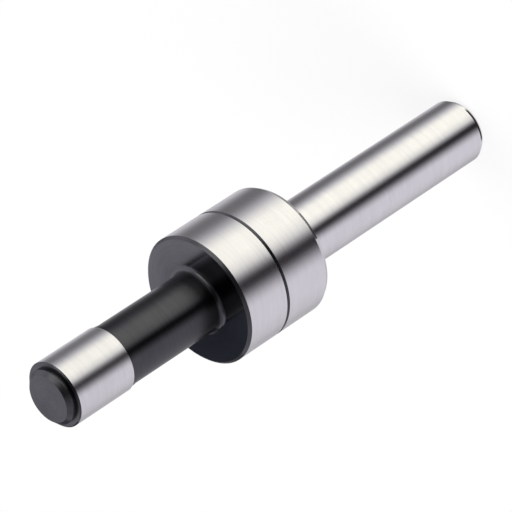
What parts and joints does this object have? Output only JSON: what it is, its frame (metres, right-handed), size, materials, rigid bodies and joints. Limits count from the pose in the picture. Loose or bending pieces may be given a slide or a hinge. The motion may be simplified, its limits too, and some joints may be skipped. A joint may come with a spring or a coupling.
{
  "type": "mechanical edge finder",
  "caption": "Spring-held edge finder: plain ground shank, split ground collar with a fine seam, dark neck and ground contact ring with a proud chamfered end boss.",
  "frame": {"origin": "centre of the shank's flat end face, on which the tool stands", "axes": "+Z along the tool's axis, from the shank's end towards the contact tip; +X is the direction in which the contact shifts on the lapped faces"},
  "size_m": [0.02, 0.02, 0.0856],
  "materials": {
    "turned_steel": "hardened steel, ground bright on the outside diameters and on the two chamfers of the shank's side, and black oxide on the rest",
    "black_oxide": "smooth turned steel with a black oxide coat",
    "pin_steel": "bright turned steel",
    "spring_wire": "drawn spring wire"
  },
  "bodies": {
    "shank": {"shank_body": "turned_steel", "shank_plug": "black_oxide"},
    "swivel": {"swivel_pin": "pin_steel"},
    "spring": {"tension_spring": "spring_wire"},
    "contact": {"contact_body": "turned_steel", "tip_plug": "black_oxide", "hook_pin": "pin_steel"}
  },
  "joints": [
    {"name": "contact_spin", "type": "hinge", "parent": "shank", "child": "swivel", "pos_m": [0, 0, 0.0075], "axis": [0, 0, 1], "continuous": true},
    {"name": "contact_pull", "type": "slide", "parent": "swivel", "child": "spring", "axis": [0, 0, 1], "range_m": [0, 0.006], "stiffness_N_per_m": 487, "springref_m": -0.0274, "deforming": ["tension_spring"]},
    {"name": "contact_shift", "type": "slide", "parent": "spring", "child": "contact", "axis": [1, 0, 0], "range_m": [-0.0008, 0.0008]}
  ]
}
